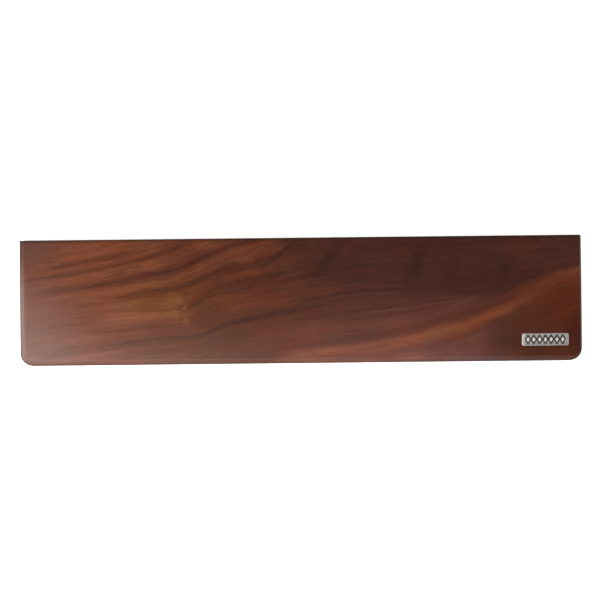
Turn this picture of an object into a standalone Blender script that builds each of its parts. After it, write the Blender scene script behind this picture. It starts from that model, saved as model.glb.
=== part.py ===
"""A wooden wrist rest for a compact keyboard.

One sloped walnut board stands on six silicone feet. Each foot is stuck into its own round pocket in the underside.
A cast metal badge is let into the top near the right end of the front edge.

The origin is on the desk under the middle of the board. +X runs along the board to the right, +Y runs back to the
keyboard, and +Z is up. Lengths are in metres.
"""

import math

import bmesh
import bpy
from mathutils import Matrix

MM = 0.001

# Board. Heights are above the desk.
WIDTH = 360 * MM
DEPTH = 80 * MM
BACK_HEIGHT = 18 * MM
RAMP_DROP = 4.5 * MM  # the even fall of the top from back to front
CROWN_DROP = 1.5 * MM  # what the curved front part falls as well
CROWN_START = 0.45  # share of the depth, from the back, where the top starts to curve
CROWN_STRIPS = 10
FRONT_CORNER_RADIUS = 7.5 * MM
CORNER_STEPS = 10
ROUND_OVER = 2.4 * MM  # top edge along both ends and the front
ROUND_OVER_STEPS = 6
EASED_EDGE = 0.8 * MM  # edges of the back face and of the underside
EASED_STEPS = 3

# Feet: silicone discs, each on a disc of tape in a pocket.
FOOT_RADIUS = 6 * MM
FOOT_PROUD = 1 * MM  # how far the feet hold the board off the desk
FOOT_EDGE = 0.6 * MM
FOOT_EDGE_STEPS = 4
FOOT_TAPE_THICKNESS = 0.3 * MM
FOOT_TAPE_RADIUS = 5.7 * MM
FOOT_POCKET_DEPTH = 1.5 * MM
FOOT_POCKET_RADIUS = 6.3 * MM
FOOT_SIDES = 48
FOOT_INSET_END = 22 * MM  # from the board's end to the middle of a foot
FOOT_INSET_EDGE = 13 * MM  # from the front or back edge to the middle of a foot

# Badge. Its own frame has z = 0 at the board's top, which it follows.
BADGE_LENGTH = 30 * MM
BADGE_WIDTH = 7.9 * MM
BADGE_RADIUS = 1.3 * MM
BADGE_FROM_END = 8.7 * MM  # from the board's right end to the badge
BADGE_FROM_FRONT = 9.3 * MM
BADGE_PROUD = 0.5 * MM
BADGE_EDGE = 0.2 * MM
BADGE_POCKET_DEPTH = 1.1 * MM
BADGE_POCKET_GAP = 0.25 * MM  # all round the badge
BADGE_TAPE_THICKNESS = 0.25 * MM
BADGE_TAPE_INSET = 0.3 * MM
RIM = 0.8 * MM
FIELD_DEPTH = 0.45 * MM  # the sunk field inside the rim
STUDS = 7
STUD_PITCH = 3.7 * MM
STUD_LENGTH = 3.4 * MM  # along the badge
STUD_WIDTH = 5.2 * MM
STUD_TOP_SHARE = 0.72
STUD_SHORT_OF_RIM = 0.05 * MM
PIN_RADIUS = 0.8 * MM
PIN_LENGTH = 2.5 * MM
PIN_HOLE_RADIUS = 1.0 * MM
PIN_SPACING = 22 * MM
PIN_SIDES = 24

CONTACT_GAP = 0.2 * MM  # between faces that touch
OVERLAP = 0.3 * MM  # how far joined or cut shapes run into each other
SHARP_ANGLE = math.radians(30)

BOARD_BOTTOM = FOOT_PROUD
BADGE_Y = -DEPTH / 2 + BADGE_FROM_FRONT + BADGE_WIDTH / 2
BADGE_X = WIDTH / 2 - BADGE_FROM_END - BADGE_LENGTH / 2


def crown_share(y):
    """How far y is into the curved part of the top: 0 where it starts or behind that, 1 at the front edge."""
    from_back = (DEPTH / 2 - y) / DEPTH
    return max(0.0, (from_back - CROWN_START) / (1 - CROWN_START))


def top_height(y):
    from_back = (DEPTH / 2 - y) / DEPTH
    return BACK_HEIGHT - RAMP_DROP * from_back - CROWN_DROP * crown_share(y) ** 2


def top_slope(y):
    """Rise of the top for each metre towards the back."""
    crown = 2 * CROWN_DROP * crown_share(y) / (1 - CROWN_START)
    return (RAMP_DROP + crown) / DEPTH


# ---------------------------------------------------------------- scene and materials


def clear_scene():
    for obj in list(bpy.data.objects):
        bpy.data.objects.remove(obj)


def new_collection(name, parent=None):
    collection = bpy.data.collections.new(name)
    (parent or bpy.context.scene.collection).children.link(collection)
    return collection


def new_material(name, colour, roughness, metallic=0.0):
    material = bpy.data.materials.new(name)
    material.use_nodes = True
    shader = material.node_tree.nodes["Principled BSDF"]
    shader.inputs["Base Color"].default_value = (*colour, 1.0)
    shader.inputs["Roughness"].default_value = roughness
    shader.inputs["Metallic"].default_value = metallic
    material.diffuse_color = (*colour, 1.0)
    return material


def shade(mesh):
    mesh.shade_smooth()
    mesh.set_sharp_from_angle(angle=SHARP_ANGLE)


def new_object(name, bm, collection, material=None):
    """An object that holds the finished bmesh."""
    bmesh.ops.recalc_face_normals(bm, faces=bm.faces)
    mesh = bpy.data.meshes.new(name)
    bm.to_mesh(mesh)
    bm.free()
    shade(mesh)
    obj = bpy.data.objects.new(name, mesh)
    collection.objects.link(obj)
    if material:
        mesh.materials.append(material)
    return obj


def new_empty(name, collection, parent=None):
    empty = bpy.data.objects.new(name, None)
    empty.empty_display_size = 10 * MM
    collection.objects.link(empty)
    empty.parent = parent
    return empty


def mark_as_cutter(obj):
    obj.hide_render = True
    obj.display_type = "WIRE"


def add_boolean(obj, operation, collection):
    modifier = obj.modifiers.new(operation.title(), "BOOLEAN")
    modifier.operation = operation
    modifier.operand_type = "COLLECTION"
    modifier.collection = collection
    modifier.solver = "EXACT"


def apply_modifiers(obj):
    """Keeps the cut and joined shape as the object's own mesh, so that its new edges can be shaded sharp too."""
    bpy.context.view_layer.update()
    evaluated = obj.evaluated_get(bpy.context.evaluated_depsgraph_get())
    mesh = bpy.data.meshes.new_from_object(evaluated)
    obj.modifiers.clear()
    obj.data = mesh
    shade(mesh)


# ---------------------------------------------------------------- basic shapes


def round_edges(bm, edges, radius, steps):
    bmesh.ops.bevel(
        bm,
        geom=edges,
        offset=radius,
        offset_type="OFFSET",
        segments=steps,
        profile=0.5,
        affect="EDGES",
    )


def block(length, width, low, high):
    """A box centred on x = 0 and y = 0, from z = low to z = high."""
    bm = bmesh.new()
    bmesh.ops.create_cube(bm, size=1.0)
    bmesh.ops.scale(bm, vec=(length, width, high - low), verts=bm.verts)
    bmesh.ops.translate(bm, vec=(0, 0, (low + high) / 2), verts=bm.verts)
    return bm


def upright_edges(bm):
    ends = ((edge, *edge.verts) for edge in bm.edges)
    return [edge for edge, a, b in ends if (a.co - b.co).xy.length < 1e-9]


def rounded_plate(length, width, low, high, radius, steps=6):
    """A flat plate with round corners, from z = low to z = high."""
    bm = block(length, width, low, high)
    round_edges(bm, upright_edges(bm), radius, steps)
    return bm


def cylinder(radius, low, high, sides):
    bm = bmesh.new()
    middle = Matrix.Translation((0, 0, (low + high) / 2))
    bmesh.ops.create_cone(
        bm,
        cap_ends=True,
        segments=sides,
        radius1=radius,
        radius2=radius,
        depth=high - low,
        matrix=middle,
    )
    return bm


# ---------------------------------------------------------------- board


def cut_crown_into_strips(bm, shoulder):
    """Divides what lies above the shoulder across its depth, so that it can bend where the top is crowned."""
    start = DEPTH / 2 - CROWN_START * DEPTH
    step = (start + DEPTH / 2) / CROWN_STRIPS
    for i in range(CROWN_STRIPS):
        faces = [face for face in bm.faces if face.calc_center_median().z > shoulder]
        edges = {edge for face in faces for edge in face.edges}
        verts = {vert for face in faces for vert in face.verts}
        bmesh.ops.bisect_plane(
            bm,
            geom=[*faces, *edges, *verts],
            dist=1e-6,
            plane_co=(0, start - i * step, 0),
            plane_no=(0, 1, 0),
        )


def board_shape():
    """The board is rounded while its top is level, and then the top is lowered to its slope."""
    bm = block(WIDTH, DEPTH, BOARD_BOTTOM, BACK_HEIGHT)
    front = [edge for edge in upright_edges(bm) if edge.verts[0].co.y < 0]
    round_edges(bm, front, FRONT_CORNER_RADIUS, CORNER_STEPS)

    top = max(bm.faces, key=lambda face: face.calc_center_median().z)
    back = max(bm.faces, key=lambda face: face.calc_center_median().y)
    rim = [edge for edge in top.edges if back not in edge.link_faces]
    round_edges(bm, rim, ROUND_OVER, ROUND_OVER_STEPS)

    back = max(bm.faces, key=lambda face: face.calc_center_median().y)
    underside = min(bm.faces, key=lambda face: face.calc_center_median().z)
    round_edges(bm, list({*back.edges, *underside.edges}), EASED_EDGE, EASED_STEPS)

    shoulder = BACK_HEIGHT - ROUND_OVER
    cut_crown_into_strips(bm, shoulder)
    for vert in bm.verts:
        if vert.co.z > shoulder - 1e-6:
            vert.co.z -= BACK_HEIGHT - top_height(vert.co.y)
    return bm


def make_board(parts, cutters, material):
    board = new_object("walnut_board", board_shape(), parts, material)
    add_boolean(board, "DIFFERENCE", cutters)
    return board


# ---------------------------------------------------------------- feet


def foot_places():
    """Name and middle of each foot, three along the back and three along the front."""
    x_far = WIDTH / 2 - FOOT_INSET_END
    y_far = DEPTH / 2 - FOOT_INSET_EDGE
    rows = {"back": y_far, "front": -y_far}
    columns = {"left": -x_far, "centre": 0.0, "right": x_far}
    return [
        (f"{row}_{column}", x, y)
        for row, y in rows.items()
        for column, x in columns.items()
    ]


def foot_shape():
    """A disc whose lower edge is rounded. Its flat face on the desk is at z = 0."""
    pocket_floor = BOARD_BOTTOM + FOOT_POCKET_DEPTH
    height = pocket_floor - FOOT_TAPE_THICKNESS - 2 * CONTACT_GAP
    bm = cylinder(FOOT_RADIUS, 0.0, height, FOOT_SIDES)
    lower = [edge for edge in bm.edges if all(vert.co.z < 1e-9 for vert in edge.verts)]
    round_edges(bm, lower, FOOT_EDGE, FOOT_EDGE_STEPS)
    return bm


def foot_tape_shape():
    high = BOARD_BOTTOM + FOOT_POCKET_DEPTH - CONTACT_GAP
    return cylinder(FOOT_TAPE_RADIUS, high - FOOT_TAPE_THICKNESS, high, FOOT_SIDES)


def foot_pocket_shape():
    floor = BOARD_BOTTOM + FOOT_POCKET_DEPTH
    return cylinder(FOOT_POCKET_RADIUS, -BOARD_BOTTOM, floor, FOOT_SIDES)


def make_feet(parts, cutters, root, silicone, tape):
    for name, x, y in foot_places():
        pieces = (
            new_object(f"foot_{name}", foot_shape(), parts, silicone),
            new_object(f"foot_tape_{name}", foot_tape_shape(), parts, tape),
            new_object(f"foot_pocket_{name}", foot_pocket_shape(), cutters),
        )
        for piece in pieces:
            piece.parent = root
            piece.location = (x, y, 0)
        mark_as_cutter(pieces[-1])


# ---------------------------------------------------------------- badge


def pin_places():
    return (-PIN_SPACING / 2, PIN_SPACING / 2)


def badge_bottom():
    """Height of the plate's underside, in the badge's frame."""
    return -BADGE_POCKET_DEPTH + BADGE_TAPE_THICKNESS + 2 * CONTACT_GAP


def badge_plate_shape():
    bm = rounded_plate(
        BADGE_LENGTH, BADGE_WIDTH, badge_bottom(), BADGE_PROUD, BADGE_RADIUS
    )
    bm.normal_update()
    top = next(face for face in bm.faces if face.normal.z > 0.5)
    round_edges(bm, list(top.edges), BADGE_EDGE, 2)
    return bm


def badge_field_shape():
    """What is taken out of the plate inside its rim."""
    return rounded_plate(
        BADGE_LENGTH - 2 * RIM,
        BADGE_WIDTH - 2 * RIM,
        BADGE_PROUD - FIELD_DEPTH,
        BADGE_PROUD + OVERLAP,
        BADGE_RADIUS - RIM,
        steps=4,
    )


def stud_shape():
    """A low four-sided stud with a lozenge-shaped base and a small flat top."""
    low = BADGE_PROUD - FIELD_DEPTH
    high = BADGE_PROUD - STUD_SHORT_OF_RIM
    bm = bmesh.new()
    bmesh.ops.create_cone(
        bm,
        cap_ends=True,
        segments=4,
        radius1=0.5,
        radius2=0.5 * STUD_TOP_SHARE,
        depth=high - low,
        matrix=Matrix.Translation((0, 0, (low + high) / 2)),
    )
    bmesh.ops.scale(bm, vec=(STUD_LENGTH, STUD_WIDTH, 1), verts=bm.verts)
    base = next(face for face in bm.faces if face.normal.z < -0.5)
    sunk = bmesh.ops.extrude_face_region(bm, geom=[base])["geom"]
    sunk_verts = [item for item in sunk if isinstance(item, bmesh.types.BMVert)]
    bmesh.ops.translate(bm, vec=(0, 0, -OVERLAP), verts=sunk_verts)
    bmesh.ops.delete(bm, geom=[base], context="FACES_ONLY")
    return bm


def make_badge(parts, cutters, board_cutters, seat, metal, tape):
    plate = new_object("badge_plate", badge_plate_shape(), parts, metal)
    adhesive = new_object("badge_tape", badge_tape_shape(), parts, tape)

    fields = new_collection("badge_field", cutters)
    joined = new_collection("badge_relief_and_pins", cutters)
    tape_holes = new_collection("badge_tape_holes", cutters)
    pieces = [plate, adhesive, new_object("field", badge_field_shape(), fields)]
    for i in range(STUDS):
        stud = new_object(f"stud_{i + 1}", stud_shape(), joined)
        stud.location.x = (i - (STUDS - 1) / 2) * STUD_PITCH
        pieces.append(stud)
    low = badge_bottom()
    for i, x in enumerate(pin_places(), 1):
        pin = cylinder(PIN_RADIUS, low - PIN_LENGTH, low + OVERLAP, PIN_SIDES)
        tape_hole = cylinder(
            PIN_HOLE_RADIUS, -BADGE_POCKET_DEPTH - OVERLAP, low + OVERLAP, PIN_SIDES
        )
        board_hole = cylinder(
            PIN_HOLE_RADIUS, low - PIN_LENGTH - OVERLAP, low + OVERLAP, PIN_SIDES
        )
        for obj in (
            new_object(f"pin_{i}", pin, joined),
            new_object(f"tape_hole_{i}", tape_hole, tape_holes),
            new_object(f"pin_hole_{i}", board_hole, board_cutters),
        ):
            obj.location.x = x
            pieces.append(obj)
    pieces.append(new_object("badge_pocket", badge_pocket_shape(), board_cutters))

    for piece in pieces:
        piece.parent = seat
        if piece not in (plate, adhesive):
            mark_as_cutter(piece)
    add_boolean(plate, "DIFFERENCE", fields)
    add_boolean(plate, "UNION", joined)
    add_boolean(adhesive, "DIFFERENCE", tape_holes)


def badge_tape_shape():
    low = -BADGE_POCKET_DEPTH + CONTACT_GAP
    return rounded_plate(
        BADGE_LENGTH - 2 * BADGE_TAPE_INSET,
        BADGE_WIDTH - 2 * BADGE_TAPE_INSET,
        low,
        low + BADGE_TAPE_THICKNESS,
        BADGE_RADIUS - BADGE_TAPE_INSET,
    )


def badge_pocket_shape():
    return rounded_plate(
        BADGE_LENGTH + 2 * BADGE_POCKET_GAP,
        BADGE_WIDTH + 2 * BADGE_POCKET_GAP,
        -BADGE_POCKET_DEPTH,
        BADGE_PROUD + OVERLAP,
        BADGE_RADIUS + BADGE_POCKET_GAP,
    )


# ---------------------------------------------------------------- whole object


def main():
    clear_scene()
    parts = new_collection("wrist_rest")
    cutters = new_collection("cutters")
    board_cutters = new_collection("board_cutters", cutters)

    walnut = new_material("walnut", (0.09, 0.030, 0.016), roughness=0.38)
    metal = new_material("cast_metal", (0.52, 0.49, 0.47), roughness=0.3, metallic=1.0)
    silicone = new_material("silicone", (0.018, 0.018, 0.019), roughness=0.75)
    tape = new_material("tape", (0.55, 0.55, 0.53), roughness=0.6)

    root = new_empty("wrist_rest_root", parts)
    seat = new_empty("badge_seat", parts, root)
    seat.location = (BADGE_X, BADGE_Y, top_height(BADGE_Y))
    seat.rotation_euler.x = math.atan(top_slope(BADGE_Y))

    board = make_board(parts, board_cutters, walnut)
    board.parent = root
    make_feet(parts, board_cutters, root, silicone, tape)
    make_badge(parts, cutters, board_cutters, seat, metal, tape)
    for obj in parts.objects:
        if obj.modifiers:
            apply_modifiers(obj)


main()
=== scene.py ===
"""The looks of a wooden wrist rest: a walnut board with a small metal badge, on silicone feet.

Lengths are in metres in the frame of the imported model, and its solids say where each piece goes. Inside the
materials, lengths are in millimetres.
"""

import math

import bmesh
import bpy
from mathutils import Matrix, Vector


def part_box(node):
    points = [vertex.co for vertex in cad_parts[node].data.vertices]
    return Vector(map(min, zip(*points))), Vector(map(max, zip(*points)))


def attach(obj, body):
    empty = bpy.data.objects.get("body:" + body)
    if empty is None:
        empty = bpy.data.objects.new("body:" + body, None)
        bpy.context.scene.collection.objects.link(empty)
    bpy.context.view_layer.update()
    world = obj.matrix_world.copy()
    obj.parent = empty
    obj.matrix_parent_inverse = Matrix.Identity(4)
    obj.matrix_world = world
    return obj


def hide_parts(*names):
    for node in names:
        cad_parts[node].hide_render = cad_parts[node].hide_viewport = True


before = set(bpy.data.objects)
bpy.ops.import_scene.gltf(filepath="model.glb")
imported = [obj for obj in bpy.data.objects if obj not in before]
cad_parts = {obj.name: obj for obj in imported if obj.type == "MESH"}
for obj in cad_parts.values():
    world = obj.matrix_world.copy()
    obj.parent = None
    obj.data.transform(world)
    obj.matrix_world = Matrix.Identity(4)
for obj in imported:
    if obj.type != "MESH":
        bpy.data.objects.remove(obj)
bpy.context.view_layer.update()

MM = 0.001

# Board, as in the solid that it stands for.
BOARD_LOW, BOARD_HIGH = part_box("walnut_board")
WIDTH = BOARD_HIGH.x - BOARD_LOW.x
DEPTH = BOARD_HIGH.y - BOARD_LOW.y
BACK_HEIGHT = 18 * MM
RAMP_DROP = 4.5 * MM
CROWN_DROP = 1.5 * MM
CROWN_START = 0.45
CROWN_STRIPS = 22
FRONT_CORNER_RADIUS = 7.5 * MM
ROUND_OVER = 2.4 * MM
EASED_EDGE = 0.8 * MM
FOOT_POCKET_RADIUS = 6.3 * MM
FOOT_POCKET_FLOOR = 2.5 * MM
POCKET_CHAMFER = 0.3 * MM

# Badge. Its own frame has z = 0 at the board's top.
BADGE_LENGTH = 30 * MM
BADGE_WIDTH = 7.9 * MM
BADGE_RADIUS = 1.3 * MM
BADGE_FROM_END = 8.7 * MM
BADGE_FROM_FRONT = 9.3 * MM
BADGE_PROUD = 0.5 * MM
BADGE_BOTTOM = -0.45 * MM
BADGE_EDGE = 0.2 * MM
BADGE_POCKET_DEPTH = 1.1 * MM
BADGE_POCKET_GAP = 0.25 * MM
RIM = 0.8 * MM
FIELD_DEPTH = 0.45 * MM
STUDS = 7
STUD_PITCH = 3.7 * MM
STUD_LENGTH = 3.4 * MM
STUD_WIDTH = 5.2 * MM
STUD_TOP_SHARE = 0.72
STUD_SHORT_OF_RIM = 0.05 * MM
STUD_EDGE = 0.12 * MM
PATINA_REACH = 0.5
PIN_RADIUS = 0.8 * MM
PIN_LENGTH = 2.5 * MM
PIN_HOLE_RADIUS = 1.0 * MM
PIN_SPACING = 22 * MM

FOOT_EDGE = 0.6 * MM
OVERLAP = 0.3 * MM
SHARP_ANGLE = math.radians(30)

FEET = [f"foot_{row}_{column}" for row in ("back", "front") for column in ("left", "centre", "right")]


def crown_share(y):
    from_back = (DEPTH / 2 - y) / DEPTH
    return max(0.0, (from_back - CROWN_START) / (1 - CROWN_START))


def top_height(y):
    from_back = (DEPTH / 2 - y) / DEPTH
    return BACK_HEIGHT - RAMP_DROP * from_back - CROWN_DROP * crown_share(y) ** 2


def top_slope(y):
    crown = 2 * CROWN_DROP * crown_share(y) / (1 - CROWN_START)
    return (RAMP_DROP + crown) / DEPTH


# ---------------------------------------------------------------- mesh tools


def round_edges(bm, edges, radius, steps):
    bmesh.ops.bevel(
        bm,
        geom=edges,
        offset=radius,
        offset_type="OFFSET",
        segments=steps,
        profile=0.5,
        affect="EDGES",
    )


def block(length, width, low, high):
    bm = bmesh.new()
    bmesh.ops.create_cube(bm, size=1.0)
    bmesh.ops.scale(bm, vec=(length, width, high - low), verts=bm.verts)
    bmesh.ops.translate(bm, vec=(0, 0, (low + high) / 2), verts=bm.verts)
    return bm


def upright_edges(bm):
    ends = ((edge, *edge.verts) for edge in bm.edges)
    return [edge for edge, a, b in ends if (a.co - b.co).xy.length < 1e-9]


def rounded_plate(length, width, low, high, radius, steps=14):
    bm = block(length, width, low, high)
    round_edges(bm, upright_edges(bm), radius, steps)
    return bm


def cone(radius_low, radius_high, low, high, sides):
    bm = bmesh.new()
    bmesh.ops.create_cone(
        bm,
        cap_ends=True,
        segments=sides,
        radius1=radius_low,
        radius2=radius_high,
        depth=high - low,
        matrix=Matrix.Translation((0, 0, (low + high) / 2)),
    )
    return bm


def new_object(name, bm, matrix=None):
    bmesh.ops.recalc_face_normals(bm, faces=bm.faces)
    mesh = bpy.data.meshes.new(name)
    bm.to_mesh(mesh)
    bm.free()
    obj = bpy.data.objects.new(name, mesh)
    bpy.context.scene.collection.objects.link(obj)
    if matrix:
        obj.matrix_world = matrix
    return obj


def combine(obj, operation, others):
    """Cuts the other objects out of obj, or joins them to it, and removes them."""
    group = bpy.data.collections.new("others")
    for other in others:
        group.objects.link(other)
    modifier = obj.modifiers.new(operation, "BOOLEAN")
    modifier.operation = operation
    modifier.operand_type = "COLLECTION"
    modifier.collection = group
    modifier.solver = "EXACT"
    bpy.context.view_layer.update()
    evaluated = obj.evaluated_get(bpy.context.evaluated_depsgraph_get())
    mesh = bpy.data.meshes.new_from_object(evaluated)
    obj.modifiers.clear()
    obj.data = mesh
    for other in others:
        bpy.data.objects.remove(other)
    bpy.data.collections.remove(group)


def finish_piece(obj, node, material):
    """Shades the piece, keeps its flat faces flat, and puts it in the place of its solid."""
    obj.data.materials.clear()
    obj.data.materials.append(material)
    obj.data.shade_smooth()
    obj.data.set_sharp_from_angle(angle=SHARP_ANGLE)
    weighted = obj.modifiers.new("Weighted normals", "WEIGHTED_NORMAL")
    weighted.keep_sharp = True
    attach(obj, "root")
    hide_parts(node)


# ---------------------------------------------------------------- node tools


class Term:
    """A number inside a node tree. Arithmetic on it adds Math nodes."""

    def __init__(self, graph, socket):
        self.graph = graph
        self.socket = socket

    def __add__(self, other):
        return self.graph.math("ADD", self, other)

    def __sub__(self, other):
        return self.graph.math("SUBTRACT", self, other)

    def __rsub__(self, other):
        return self.graph.math("SUBTRACT", other, self)

    def __mul__(self, other):
        return self.graph.math("MULTIPLY", self, other)

    def __truediv__(self, other):
        return self.graph.math("DIVIDE", self, other)

    def __abs__(self):
        return self.graph.math("ABSOLUTE", self)

    __radd__ = __add__
    __rmul__ = __mul__


class Graph:
    """The node tree of one material. Its methods take numbers, colours or node outputs."""

    def __init__(self, name):
        self.material = bpy.data.materials.new(name)
        self.material.use_nodes = True
        self.tree = self.material.node_tree
        self.shader = self.tree.nodes["Principled BSDF"]

    def feed(self, socket, value):
        value = getattr(value, "socket", value)
        if isinstance(value, bpy.types.NodeSocket):
            self.tree.links.new(value, socket)
        elif socket.type == "RGBA" and len(value) == 3:
            socket.default_value = (*value, 1.0)
        else:
            socket.default_value = value

    def node(self, kind, inputs, **settings):
        node = self.tree.nodes.new("ShaderNode" + kind)
        for key, value in settings.items():
            setattr(node, key, value)
        for key, value in inputs.items():
            self.feed(node.inputs[key], value)
        return node

    def surface(self, **inputs):
        """Sets the shader's inputs. An underscore in a name stands for a space."""
        for name, value in inputs.items():
            self.feed(self.shader.inputs[name.replace("_", " ")], value)

    def math(self, operation, *values):
        node = self.node("Math", dict(enumerate(values)), operation=operation)
        return Term(self, node.outputs[0])

    def position(self):
        """The point's coordinates in the piece's own frame, in millimetres."""
        place = self.node("TexCoord", {}).outputs["Object"]
        parts = self.node("SeparateXYZ", {0: place})
        return [Term(self, output) * (1 / MM) for output in parts.outputs]

    def vector(self, x, y, z):
        return self.node("CombineXYZ", {"X": x, "Y": y, "Z": z}).outputs[0]

    def ramp_up(self, value, low, high, result=1.0, smooth=True):
        """0 where value is at low or under, result where it is at high or over."""
        inputs = {"Value": value, "From Min": low, "From Max": high, "To Max": result}
        kind = "SMOOTHSTEP" if smooth else "LINEAR"
        return Term(self, self.node("MapRange", inputs, interpolation_type=kind).outputs[0])

    def hump(self, value, centre, half_width):
        """1 where value is at centre, 0 where it is half_width or more from it."""
        return 1.0 - self.ramp_up(abs(value - centre), 0.0, half_width)

    def patch(self, x, y, centre, radii):
        """A soft oval: 1 in its middle and 0 outside."""
        across = (x - centre[0]) * (1 / radii[0])
        along = (y - centre[1]) * (1 / radii[1])
        return 1.0 - self.ramp_up(across * across + along * along, 0.0, 1.0)

    def noise(self, vector, detail=2.0, roughness=0.5, distortion=0.0):
        """Fractal noise around 0, between about -1 and 1."""
        inputs = {
            "Vector": vector,
            "Scale": 1.0,
            "Detail": detail,
            "Roughness": roughness,
            "Distortion": distortion,
        }
        fac = Term(self, self.node("TexNoise", inputs).outputs[0])
        return (fac - 0.5) * 2.0

    def curve(self, value, points, reach):
        """A smooth curve through (value, result) points, which lie within reach of 0."""
        node = self.node("FloatCurve", {"Value": (value + reach) / (2 * reach)})
        line = node.mapping.curves[0]
        while len(line.points) < len(points):
            line.points.new(0.5, 0.5)
        for knot, (at, result) in zip(line.points, points):
            knot.location = ((at + reach) / (2 * reach), (result + reach) / (2 * reach))
        node.mapping.update()
        return Term(self, node.outputs[0]) * (2 * reach) - reach

    def colours(self, value, stops):
        node = self.node("ValToRGB", {0: value})
        node.color_ramp.interpolation = "LINEAR"
        elements = node.color_ramp.elements
        while len(elements) < len(stops):
            elements.new(0.5)
        for element, (at, colour) in zip(elements, stops):
            element.position = at
            element.color = (*colour, 1.0)
        return node.outputs[0]

    def mix(self, factor, first, second, blend="MIX"):
        node = self.node("Mix", {}, data_type="RGBA", blend_type=blend)
        self.feed(node.inputs[0], factor)
        self.feed(node.inputs[6], first)
        self.feed(node.inputs[7], second)
        return node.outputs[2]

    def bump(self, height, strength, distance):
        inputs = {"Height": height, "Strength": strength, "Distance": distance}
        return self.node("Bump", inputs).outputs[0]


# ---------------------------------------------------------------- walnut

# Lines that the grain follows over the top, from the back to the front. Each has its place on the ring
# scale, which is the y where it crosses x = -120, and the (x, y) points that it runs through.
GRAIN_LINES = [
    (60, [(-180, 46), (-120, 60), (-60, 78), (60, 86), (180, 88)]),
    (29, [(-180, 20), (-150, 24), (-120, 29), (-100, 34), (-60, 48), (0, 60), (180, 70)]),
    (13, [
        (-180, 5), (-150, 9), (-120, 13), (-100, 17), (-82, 20),
        (-60, 30), (-35, 38), (0, 50), (180, 58),
    ]),
    (2, [
        (-180, -2), (-150, 0.5), (-120, 2), (-100, 5.5), (-82, 7.5),
        (-60, 14), (-45, 20), (-10, 25), (60, 36), (180, 46),
    ]),
    (-6, [
        (-180, -16), (-140, -9), (-120, -6), (-84, -5), (-72, -4),
        (-60, 2), (-45, 5), (-18, 12), (15, 17), (180, 32),
    ]),
    (-19, [
        (-180, -27), (-150, -21), (-120, -19), (-85, -16), (-72, -17),
        (-50, -9), (-10, -1), (35, 6), (100, 9), (180, 26),
    ]),
    (-27, [
        (-180, -38), (-150, -32), (-120, -27), (-85, -22), (-65, -21),
        (-50, -15), (-20, -9), (12, -4), (100, 4), (180, 22),
    ]),
    (-52, [
        (-180, -64), (-120, -52), (-60, -42), (0, -30), (50, -24),
        (85, -14), (125, -1), (150, 12), (180, 19),
    ]),
    (-62, [
        (-180, -74), (-120, -62), (-60, -51), (0, -39), (60, -32),
        (95, -26), (120, -16), (150, -5), (180, 8),
    ]),
    (-100, [(-180, -112), (-120, -100), (0, -80), (100, -66), (180, -46)]),
]
GRAIN_REACH = 200

# The wood's tone along the board, as (x, percent).
TONES = [(-180, 80), (-155, 82), (-130, 85), (-105, 76), (-70, 62), (-40, 53), (0, 45), (60, 43), (180, 40)]

# Bands that follow the grain: place on the ring scale, half width, tone, and the x at each end.
BANDS = [
    (29, 3.0, -0.24, -175, -95),
    (23, 3.0, -0.26, -190, -60),
    (20, 3.5, 0.06, -190, -60),
    (13, 5.0, -0.22, -180, -12),
    (13, 1.8, -0.2, -150, -20),
    (8, 3.5, 0.14, -175, -60),
    (3, 3.0, -0.26, -132, -5),
    (0.5, 1.5, -0.14, -160, -110),
    (-3, 2.4, -0.22, -75, 5),
    (-5.5, 1.5, -0.16, -125, -15),
    (-6, 1.8, -0.18, -30, 25),
    (-9, 8.0, 0.18, -140, -60),
    (-10, 2.0, -0.14, -178, -120),
    (-18, 2.0, -0.14, -155, -70),
    (-19.5, 1.6, -0.13, -15, 95),
    (-21.5, 1.2, 0.1, 0, 80),
    (-27, 5.5, -0.15, -180, 15),
    (-26, 4.5, -0.14, -75, -5),
    (-27, 1.6, -0.1, -150, 5),
    (-28.5, 1.4, 0.1, 75, 125),
    (-31, 1.6, -0.1, 15, 110),
    (-31.5, 2.4, 0.16, -180, -100),
    (-33.5, 1.6, 0.06, 25, 115),
    (-36, 7.0, -0.12, -130, -20),
    (-36.5, 1.8, -0.1, 15, 100),
    (-43, 12.0, 0.16, -15, 120),
    (-56.5, 7.0, 0.4, -25, 108),
    (-57.5, 5.4, 0.38, 83, 155),
    (-54.5, 5.0, 0.16, 130, 200),
    (-68, 16.0, 0.48, -30, 95),
    (-70, 17.0, 0.36, 70, 130),
]

# Bars across the grain: the x and y of the middle, how much x grows with y, half width, tone and half length.
BARS = [
    (-14, 29, 1.25, 4.0, -0.26, 15),
    (18, 26, 0.6, 7.5, -0.16, 22),
    (74, 22, 0.4, 7.5, -0.2, 20),
    (98, 19, 0.2, 7.0, -0.09, 14),
    (132, 20, 0.5, 6.0, -0.13, 16),
    (-77.5, 0.3, -0.5, 1.7, 0.2, 6),
    (-80, -7, -0.7, 1.6, 0.18, 4),
    (-73.5, -12.5, -0.2, 3.6, 0.14, 5.5),
    (-65, -1, 1.4, 6.0, -0.2, 7.5),
]

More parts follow.
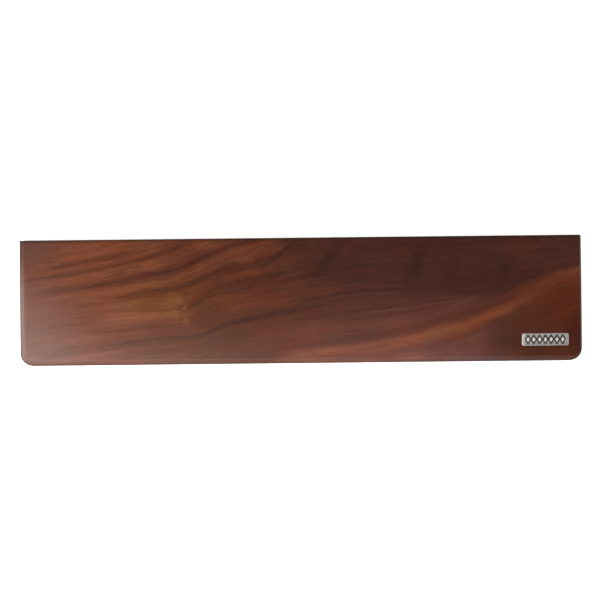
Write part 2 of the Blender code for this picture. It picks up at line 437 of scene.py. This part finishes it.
# Soft ovals, from left to right: the middle's x and y, the radii, and tone.
PATCHES = [
    (-150, -25, 40, 8, 0.05),
    (-119, 18, 11, 4, -0.1),
    (-119, -1, 26, 4.5, 0.08),
    (-95, 23, 10, 4, 0.14),
    (-91, 31, 9, 4, 0.12),
    (-84, 0, 14, 9, 0.1),
    (-77, -13, 8, 4, 0.08),
    (-62, 37, 9, 5, 0.16),
    (-60, -6, 16, 14, -0.08),
    (-42, 31, 24, 9, 0.14),
    (-35, 25, 8, 4.5, 0.18),
    (-28, -1, 45, 6, 0.07),
    (-7, 18, 8, 4, 0.07),
    (-7, 0, 8, 4, 0.07),
    (-4, 37, 12, 9, -0.26),
    (0, -24, 45, 16, 0.08),
    (5, 9, 26, 9, 0.12),
    (35, 3, 55, 10, 0.09),
    (55, -14, 26, 9, 0.05),
    (62, -20, 18, 9, 0.06),
    (105, -31, 8, 5, -0.08),
    (126, -38, 20, 12, 0.14),
    (134, -3, 11, 6, -0.09),
    (140, -33, 34, 11, -0.1),
    (143, 28, 18, 13, 0.14),
    (150, -24, 40, 18, -0.06),
    (160, 38, 12, 5, 0.12),
    (161, 18, 9, 5, 0.1),
    (178, 12, 10, 16, 0.08),
    (178, -38, 12, 7, -0.1),
    (180, 25, 30, 18, 0.12),
    (182, -24, 18, 18, -0.22),
]

# A small knot, from stains: the middle, the radii, strength and colour.
KNOT = [
    ((-81, 1), (7, 6), 0.3, (0.2, 0.072, 0.02)),
    ((-74.6, -4.6), (2.0, 1.3), 0.3, (0.26, 0.13, 0.06)),
    ((-76.7, -2.8), (1.9, 1.4), 0.5, (0.045, 0.014, 0.004)),
    ((-76.5, -11.8), (1.8, 1.5), 0.55, (0.045, 0.014, 0.004)),
]


# Tints of whole areas: the middle, the radii, strength, and the colour that the wood's own is multiplied by.
TINTS = [
    ((-82, 0), (50, 18), 0.7, (1.0, 1.12, 0.6)),
    ((-105, -38), (70, 16), 0.8, (1.0, 0.9, 0.66)),
    ((100, -40), (56, 15), 1.0, (0.97, 1.16, 1.5)),
    ((188, -12), (38, 34), 1.0, (1.06, 0.84, 0.74)),
]

# Colours of the wood from dark to light, where it is warm and where it is cool.
WARM_COLOURS = [
    (0.0, (0.0318, 0.0079, 0.0036)),
    (0.1, (0.0391, 0.0098, 0.0043)),
    (0.29, (0.058, 0.0143, 0.0055)),
    (0.475, (0.086, 0.0209, 0.0073)),
    (0.66, (0.1235, 0.0318, 0.0118)),
    (0.85, (0.1775, 0.0497, 0.0195)),
    (1.0, (0.235, 0.072, 0.031)),
]
COOL_COLOURS = [
    (0.0, (0.0296, 0.0087, 0.006)),
    (0.1, (0.0363, 0.0107, 0.0071)),
    (0.29, (0.0535, 0.0157, 0.0102)),
    (0.475, (0.079, 0.0234, 0.0143)),
    (0.66, (0.115, 0.035, 0.0205)),
    (0.85, (0.167, 0.053, 0.029)),
    (1.0, (0.226, 0.0735, 0.0395)),
]
RED_BROWN = (1.07, 0.93, 0.83)
GREY_BROWN = (0.94, 1.09, 1.33)
# Painted sheen: the grey that is mixed over the left end of the top.
LEFT_END_SHEEN = (0.24, 0.16, 0.14)
CORNER_BROWN = (0.09, 0.041, 0.031)
# Painted highlight along the edge of the left end.
LEFT_EDGE_HIGHLIGHT = (0.62, 0.6, 0.57)
SHEEN = (0.45, 0.45, 0.47)
PORE = (0.02, 0.008, 0.005)
# Painted shade for the edges and sides.
PAINTED_EDGE_SHADE = (0.02, 0.009, 0.006)


def ring_scale(g, x, y, z):
    """Where a point lies on the ring scale, from the grain lines on either side of it."""
    wander = g.noise(g.vector(x / 60, y / 16, z / 30)) * 1.6 + g.noise(g.vector(x / 14, y / 5, z / 5)) * 0.7
    across = y + (z - 15 - y * 0.075) * 1.2 + wander
    heights = [g.curve(x, points, GRAIN_REACH) for _, points in GRAIN_LINES]
    ring = Term(g, g.node("Value", {}).outputs[0])
    ring.socket.default_value = GRAIN_LINES[-1][0]
    for i in range(len(GRAIN_LINES) - 1):
        step = GRAIN_LINES[i][0] - GRAIN_LINES[i + 1][0]
        ring = ring + g.ramp_up(across, heights[i + 1], heights[i], step, smooth=False)
    return ring


def figure_tone(g, x, y, z, ring):
    """The tone of the wood's large figure: bands along the grain, bars across it and soft patches."""
    tone = g.curve(x, TONES, GRAIN_REACH) / 100
    uneven = g.noise(g.vector(x / 22, ring / 3, z / 10)) * 0.6 + 1.05
    for centre, half_width, amount, start, end in BANDS:
        along = g.ramp_up(x, start, start + 25) * (1.0 - g.ramp_up(x, end - 25, end))
        tone = g.hump(ring, centre, half_width) * along * uneven * amount + tone
    for bar_x, bar_y, lean, half_width, amount, half_length in BARS:
        inside = g.hump(y, bar_y, half_length)
        tone = g.hump(x - (y - bar_y) * lean, bar_x, half_width) * inside * amount + tone
    for *middle, across_x, across_y, amount in PATCHES:
        tone = g.patch(x, y, middle, (across_x, across_y)) * amount + tone
    heart_edge = g.ramp_up(x, 90, 135, -16)
    heart_start = x - g.ramp_up(y, 18, 40, 12)
    heart = g.ramp_up(ring - heart_edge, -32, -20) * g.ramp_up(heart_start, -28, 14)
    return tone - heart * 0.24


def streaks(g, x, y, z, ring, fine):
    """Uneven streaks along the grain. They are weaker at the front right and stronger at the back left."""
    broad = g.noise(g.vector(x / 70, ring / 6, z / 20), 3.0, 0.6)
    fleck = g.noise(g.vector(x / 4.5, ring / 0.9, z / 2), 3.0, 0.7)
    calm = g.ramp_up(x, -60, 20) * g.ramp_up(y * -1, 0, 22, 0.5)
    lively = g.ramp_up(y, -10, 25) * g.ramp_up(x * -1, -20, 100, 0.9)
    return (broad * 0.18 + (fine * 0.24 + fleck * 0.14) * (lively * 0.85 + 1.2)) * (1.0 - calm)


def wood_colour(g, x, y, z, ring, tone):
    """The colour for a tone: warm on the left, in the orange band and at the right end, else cool."""
    orange = g.hump(ring, -57, 9) * g.ramp_up(x, 50, 110)
    reddish = g.ramp_up(x - y * 0.2, 122, 158, 0.9) * (1.0 - g.ramp_up(y, 0, 28))
    cool = g.ramp_up(x, -35, 45) * (1.0 - reddish) * (1.0 - orange)
    light = tone * 0.75 + 0.1
    colour = g.mix(cool, g.colours(light, WARM_COLOURS), g.colours(light, COOL_COLOURS))
    hue = g.noise(g.vector(x / 26, ring / 2.6, z / 8), 3.0) + 0.5
    colour = g.mix(1.0, colour, g.mix(hue, RED_BROWN, GREY_BROWN), "MULTIPLY")
    for middle, radii, amount, tint in TINTS:
        colour = g.mix(g.patch(x, y, middle, radii) * amount, colour, tint, "MULTIPLY")
    return colour


def stains_and_painted_sheen(g, x, y, z, colour):
    """Adds the knot, a painted greyish sheen over the left end, and a painted highlight along the edge of
    that end.
    """
    ragged = g.noise(g.vector(x / 3, y / 1.2, z / 2), 4.0, 0.7) * 2.6
    knot_x = x + ragged
    knot_y = y - ragged * 0.4
    for middle, radii, amount, brown in KNOT:
        colour = g.mix(g.patch(knot_x, knot_y, middle, radii) * amount, colour, brown)
    # Painted sheen: a greyish veil of reflected light over the left end, with more of it towards the front.
    left_end_sheen = g.ramp_up(y * -1, -30, 15, 0.32) - g.ramp_up(y * -1, 18, 38, 0.14) + 0.06
    colour = g.mix(left_end_sheen * g.ramp_up(x * -1, 125, 185), colour, LEFT_END_SHEEN)
    corner = g.patch(x, y, (-186, 48), (44, 34))
    colour = g.mix(corner * 0.8, colour, CORNER_BROWN)
    # Painted highlight: the rounded edge of the left end is made lighter and greyer, fading towards the back.
    left_edge_highlight = g.ramp_up(x * -1, 174.5, 179.5) * g.ramp_up(y * -1, -40, 0, 0.12)
    return g.mix(left_edge_highlight, colour, LEFT_EDGE_HIGHLIGHT)


def below_top(g, y, z):
    """How far a point is under the board's top, were it not rounded over."""
    from_back = 0.5 - y * (MM / DEPTH)
    crown = g.ramp_up(from_back, CROWN_START, 1.0, smooth=False)
    top = BACK_HEIGHT / MM - from_back * (RAMP_DROP / MM) - crown * crown * (CROWN_DROP / MM)
    return top - z


def round_over_share(g, x, y):
    """0 on the flat of the top, and 1 on the round-over of the front and the left end."""
    corner_x = g.math("MAXIMUM", x * -1 - (WIDTH / 2 - FRONT_CORNER_RADIUS) / MM, 0)
    corner_y = g.math("MAXIMUM", y * -1 - (DEPTH / 2 - FRONT_CORNER_RADIUS) / MM, 0)
    outward = g.math("SQRT", corner_x * corner_x + corner_y * corner_y)
    flat_end = (FRONT_CORNER_RADIUS - ROUND_OVER) / MM
    return g.ramp_up(outward, flat_end - 0.5, flat_end + 0.3)


def walnut():
    """Walnut with a satin finish on top, matt at its edges and sides."""
    g = Graph("walnut wood")
    x, y, z = g.position()
    ring = ring_scale(g, x, y, z)
    fine = g.noise(g.vector(x / 24, ring / 1.5, z / 4), 4.0, 0.7)
    tone = figure_tone(g, x, y, z, ring) + streaks(g, x, y, z, ring, fine)
    colour = stains_and_painted_sheen(g, x, y, z, wood_colour(g, x, y, z, ring, tone))

    depth = below_top(g, y, z)
    side = g.ramp_up(depth, 1.6, 5.0)
    rounded = round_over_share(g, x, y)
    sheen = rounded * (1.0 - side) * g.ramp_up(x * -1, -60, 110) * g.ramp_up(y * -1, -35, 10)
    colour = g.mix(sheen * 0.07, colour, SHEEN)
    pores = g.ramp_up(g.noise(g.vector(x / 5, ring / 0.28, z / 0.28)), 0.3, 0.75)
    colour = g.mix(pores * 0.3, colour, PORE)
    # Painted shade: darker down the round-overs, less so on the sides, and along the back edge.
    rim = g.ramp_up(depth, 0.02, 1.1) * (1.0 - side * 0.55)
    back = g.ramp_up(y, 37.0, 39.6) * (1.0 - side)
    colour = g.mix(rim * 0.65 + back * 0.6, colour, PAINTED_EDGE_SHADE)

    matt = g.math("MAXIMUM", rounded, g.ramp_up(depth, 0.2, 0.8))
    grit = g.noise(g.vector(x / 3, y, z), 3.0, 0.6)
    g.surface(
        Base_Color=colour,
        Roughness=matt * 0.75 - side * 0.25 + grit * 0.04 + 0.25,
        IOR=1.5,
        Normal=g.bump(fine * 0.02 - pores * 0.005, 0.5, MM),
    )
    return g.material


# ---------------------------------------------------------------- board


def cut_crown_into_strips(bm, shoulder):
    start = DEPTH / 2 - CROWN_START * DEPTH
    step = (start + DEPTH / 2) / CROWN_STRIPS
    for i in range(CROWN_STRIPS):
        faces = [face for face in bm.faces if face.calc_center_median().z > shoulder]
        edges = {edge for face in faces for edge in face.edges}
        verts = {vert for face in faces for vert in face.verts}
        bmesh.ops.bisect_plane(
            bm,
            geom=[*faces, *edges, *verts],
            dist=1e-6,
            plane_co=(0, start - i * step, 0),
            plane_no=(0, 1, 0),
        )


def board_shape():
    """The board is rounded while its top is level, and then the top is lowered to its slope."""
    bm = block(WIDTH, DEPTH, BOARD_LOW.z, BACK_HEIGHT)
    front = [edge for edge in upright_edges(bm) if edge.verts[0].co.y < 0]
    round_edges(bm, front, FRONT_CORNER_RADIUS, 20)

    top = max(bm.faces, key=lambda face: face.calc_center_median().z)
    back = max(bm.faces, key=lambda face: face.calc_center_median().y)
    rim = [edge for edge in top.edges if back not in edge.link_faces]
    round_edges(bm, rim, ROUND_OVER, 10)

    back = max(bm.faces, key=lambda face: face.calc_center_median().y)
    underside = min(bm.faces, key=lambda face: face.calc_center_median().z)
    round_edges(bm, list({*back.edges, *underside.edges}), EASED_EDGE, 4)

    shoulder = BACK_HEIGHT - ROUND_OVER
    cut_crown_into_strips(bm, shoulder)
    for vert in bm.verts:
        if vert.co.z > shoulder - 1e-6:
            vert.co.z -= BACK_HEIGHT - top_height(vert.co.y)
    return bm


def badge_seat():
    """Places the badge's frame on the sloped top."""
    x = WIDTH / 2 - BADGE_FROM_END - BADGE_LENGTH / 2
    y = -DEPTH / 2 + BADGE_FROM_FRONT + BADGE_WIDTH / 2
    lean = Matrix.Rotation(math.atan(top_slope(y)), 4, "X")
    return Matrix.Translation((x, y, top_height(y))) @ lean


def foot_pockets():
    """A round pocket for each foot, with a chamfered mouth."""
    cutters = []
    for foot in FEET:
        low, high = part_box(foot)
        middle = (low + high) / 2
        place = Matrix.Translation((middle.x, middle.y, 0))
        mouth = BOARD_LOW.z + POCKET_CHAMFER
        wide = FOOT_POCKET_RADIUS + 2 * POCKET_CHAMFER
        straight = cone(FOOT_POCKET_RADIUS, FOOT_POCKET_RADIUS, 0.0, FOOT_POCKET_FLOOR, 96)
        narrow = FOOT_POCKET_RADIUS - POCKET_CHAMFER
        flare = cone(wide, narrow, mouth - 2 * POCKET_CHAMFER, mouth + POCKET_CHAMFER, 96)
        cutters.append(new_object("pocket", straight, place))
        cutters.append(new_object("flare", flare, place))
    return cutters


def badge_pocket():
    """The pocket that the badge sits in, and the two holes for its pins."""
    seat = badge_seat()
    pocket = rounded_plate(
        BADGE_LENGTH + 2 * BADGE_POCKET_GAP,
        BADGE_WIDTH + 2 * BADGE_POCKET_GAP,
        -BADGE_POCKET_DEPTH,
        BADGE_PROUD + OVERLAP,
        BADGE_RADIUS + BADGE_POCKET_GAP,
    )
    cutters = [new_object("pocket", pocket, seat)]
    for x in (-PIN_SPACING / 2, PIN_SPACING / 2):
        low = BADGE_BOTTOM - PIN_LENGTH - OVERLAP
        hole = cone(PIN_HOLE_RADIUS, PIN_HOLE_RADIUS, low, BADGE_BOTTOM, 32)
        cutters.append(new_object("pin_hole", hole, seat @ Matrix.Translation((x, 0, 0))))
    return cutters


def make_board():
    board = new_object("board", board_shape())
    combine(board, "DIFFERENCE", foot_pockets() + badge_pocket())
    finish_piece(board, "walnut_board", walnut())


# ---------------------------------------------------------------- badge


def badge_metal():
    """Satin metal, with a dark patina on the sides of the studs and close around them, and a painted
    highlight on the plate's left end.
    """
    g = Graph("satin metal")
    x, y, z = g.position()
    grain = g.noise(g.vector(x * 0.8, y * 9, z * 9), 3.0, 0.6)
    mottle = g.noise(g.vector(x / 3, y / 3, z / 3), 3.0, 0.6)
    from_stud = g.math("PINGPONG", x, STUD_PITCH / MM / 2)
    lozenge = from_stud * (2 * MM / STUD_LENGTH) + abs(y) * (2 * MM / STUD_WIDTH)
    in_row = g.math("LESS_THAN", abs(x), STUDS * STUD_PITCH / MM / 2)
    raised = 1.0 - g.ramp_up(lozenge, 0.45, 0.75)
    patina = (1.0 - g.ramp_up(abs(lozenge - 1.0) + mottle * 0.06, 0.2, PATINA_REACH)) * in_row
    # Painted highlight: the left end of the plate is given a lighter colour.
    satin = g.mix(g.ramp_up(x * -1, 12.5, 14.4), (0.41, 0.365, 0.345), (0.72, 0.66, 0.63))
    colour = g.mix(raised * in_row * 0.85, satin, (0.85, 0.82, 0.8))
    colour = g.mix(patina, colour, (0.02, 0.018, 0.017))
    g.surface(
        Base_Color=colour,
        Metallic=0.55 - patina * 0.3,
        Roughness=0.38 + grain * 0.08 + mottle * 0.05,
        Normal=g.bump(grain, 0.25, 0.01 * MM),
    )
    return g.material


def stud():
    """A low four-sided stud with a lozenge-shaped base and a small flat top."""
    low = BADGE_PROUD - FIELD_DEPTH
    high = BADGE_PROUD - STUD_SHORT_OF_RIM
    spread = (1 - STUD_TOP_SHARE) / (high - low)
    bm = cone(0.5 * (1 + spread * OVERLAP), 0.5 * STUD_TOP_SHARE, low - OVERLAP, high, 4)
    bmesh.ops.scale(bm, vec=(STUD_LENGTH, STUD_WIDTH, 1), verts=bm.verts)
    upper = [edge for edge in bm.edges if max(vert.co.z for vert in edge.verts) > high - 1e-9]
    round_edges(bm, upper, STUD_EDGE, 3)
    return bm


def make_badge():
    plate = rounded_plate(BADGE_LENGTH, BADGE_WIDTH, BADGE_BOTTOM, BADGE_PROUD, BADGE_RADIUS)
    top = max(plate.faces, key=lambda face: face.calc_center_median().z)
    round_edges(plate, list(top.edges), BADGE_EDGE, 5)
    field = rounded_plate(
        BADGE_LENGTH - 2 * RIM,
        BADGE_WIDTH - 2 * RIM,
        BADGE_PROUD - FIELD_DEPTH,
        BADGE_PROUD + OVERLAP,
        BADGE_RADIUS - RIM,
    )
    badge = new_object("badge", plate)
    combine(badge, "DIFFERENCE", [new_object("field", field)])

    raised = []
    for i in range(STUDS):
        place = Matrix.Translation(((i - (STUDS - 1) / 2) * STUD_PITCH, 0, 0))
        raised.append(new_object("stud", stud(), place))
    for x in (-PIN_SPACING / 2, PIN_SPACING / 2):
        pin = cone(PIN_RADIUS, PIN_RADIUS, BADGE_BOTTOM - PIN_LENGTH, BADGE_BOTTOM + OVERLAP, 32)
        raised.append(new_object("pin", pin, Matrix.Translation((x, 0, 0))))
    combine(badge, "UNION", raised)
    badge.matrix_world = badge_seat()
    finish_piece(badge, "badge_plate", badge_metal())


# ---------------------------------------------------------------- feet and tape


def silicone():
    g = Graph("silicone rubber")
    x, y, z = g.position()
    grit = g.noise(g.vector(x * 4, y * 4, z * 4), 4.0, 0.6)
    cloud = g.noise(g.vector(x / 3, y / 3, z / 3))
    colour = g.mix(cloud * 0.5 + 0.5, (0.012, 0.012, 0.013), (0.022, 0.022, 0.023))
    g.surface(
        Base_Color=colour,
        Roughness=0.58 + grit * 0.1,
        IOR=1.43,
        Normal=g.bump(grit, 0.3, 0.02 * MM),
    )
    return g.material


def adhesive_tape():
    g = Graph("adhesive tape")
    x, y, z = g.position()
    fibres = g.noise(g.vector(x * 2, y * 2, z * 2), 4.0, 0.7, 1.0)
    colour = g.mix(fibres * 0.5 + 0.5, (0.5, 0.48, 0.42), (0.66, 0.64, 0.58))
    g.surface(Base_Color=colour, Roughness=0.55 + fibres * 0.1)
    return g.material


def make_feet():
    rubber = silicone()
    for foot in FEET:
        low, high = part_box(foot)
        radius = (high.x - low.x) / 2
        disc = cone(radius, radius, low.z, high.z, 96)
        lower = [edge for edge in disc.edges if all(vert.co.z < low.z + 1e-6 for vert in edge.verts)]
        round_edges(disc, lower, FOOT_EDGE, 8)
        middle = (low + high) / 2
        piece = new_object(f"{foot}_pad", disc, Matrix.Translation((middle.x, middle.y, 0)))
        finish_piece(piece, foot, rubber)


def finish_tapes():
    """The flat pieces of tape keep the shape of their solids."""
    material = adhesive_tape()
    for name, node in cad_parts.items():
        if "tape" in name:
            node.material_slots[0].material = material


# ---------------------------------------------------------------- camera, light and floor

BOARD_SHARE = 0.9377  # of the frame's width
CAMERA_DISTANCE = 1.2
CAMERA_ELEVATION = math.radians(85.7)
CAMERA_ROLL = math.radians(0.62)
SOFTBOX_PLACE = Vector((-0.373, -0.646, 1.065))
SOFTBOX_SIZE = 0.5
SOFTBOX_POWER = 21


def make_camera():
    data = bpy.data.cameras.new("camera")
    target = Vector((-0.45 * MM, 0.0, top_height(0.0)))
    back = Vector((0, -math.cos(CAMERA_ELEVATION), math.sin(CAMERA_ELEVATION)))
    data.lens = data.sensor_width * CAMERA_DISTANCE * BOARD_SHARE / WIDTH
    camera = bpy.data.objects.new("camera", data)
    bpy.context.scene.collection.objects.link(camera)
    camera.location = target + back * CAMERA_DISTANCE
    turn = (-back).to_track_quat("-Z", "Y").to_matrix().to_4x4()
    camera.rotation_euler = (turn @ Matrix.Rotation(-CAMERA_ROLL, 4, "Z")).to_euler()
    bpy.context.scene.camera = camera


def make_softbox():
    """A square light, up and to the left in front of the board."""
    data = bpy.data.lights.new("softbox", "AREA")
    data.size = SOFTBOX_SIZE
    data.energy = SOFTBOX_POWER
    light = bpy.data.objects.new("softbox", data)
    bpy.context.scene.collection.objects.link(light)
    light.location = SOFTBOX_PLACE
    light.rotation_euler = (-SOFTBOX_PLACE).to_track_quat("-Z", "Y").to_euler()


def make_world():
    """Soft light from all round, bright near the horizon and dark overhead."""
    world = bpy.data.worlds.new("world")
    world.use_nodes = True
    bpy.context.scene.world = world
    tree = world.node_tree
    place = tree.nodes.new("ShaderNodeTexCoord")
    parts = tree.nodes.new("ShaderNodeSeparateXYZ")
    ramp = tree.nodes.new("ShaderNodeValToRGB")
    tree.links.new(place.outputs["Generated"], parts.inputs[0])
    tree.links.new(parts.outputs["Z"], ramp.inputs[0])
    tree.links.new(ramp.outputs[0], tree.nodes["Background"].inputs["Color"])
    elements = ramp.color_ramp.elements
    elements[0].position, elements[0].color = 0.2, (1, 1, 1, 1)
    elements[1].position, elements[1].color = 0.8, (0, 0, 0, 1)
    tree.nodes["Background"].inputs["Strength"].default_value = 1.0


def make_floor():
    bm = bmesh.new()
    bmesh.ops.create_grid(bm, x_segments=1, y_segments=1, size=6.0)
    floor = new_object("floor", bm)
    g = Graph("floor")
    g.surface(Base_Color=(0.85, 0.85, 0.85), Roughness=0.6, Emission_Color=(1, 1, 1), Emission_Strength=0.87)
    floor.data.materials.append(g.material)


def main():
    make_board()
    make_badge()
    make_feet()
    finish_tapes()
    make_camera()
    make_world()
    make_floor()
    make_softbox()
    bpy.context.scene.view_settings.view_transform = "Standard"


main()
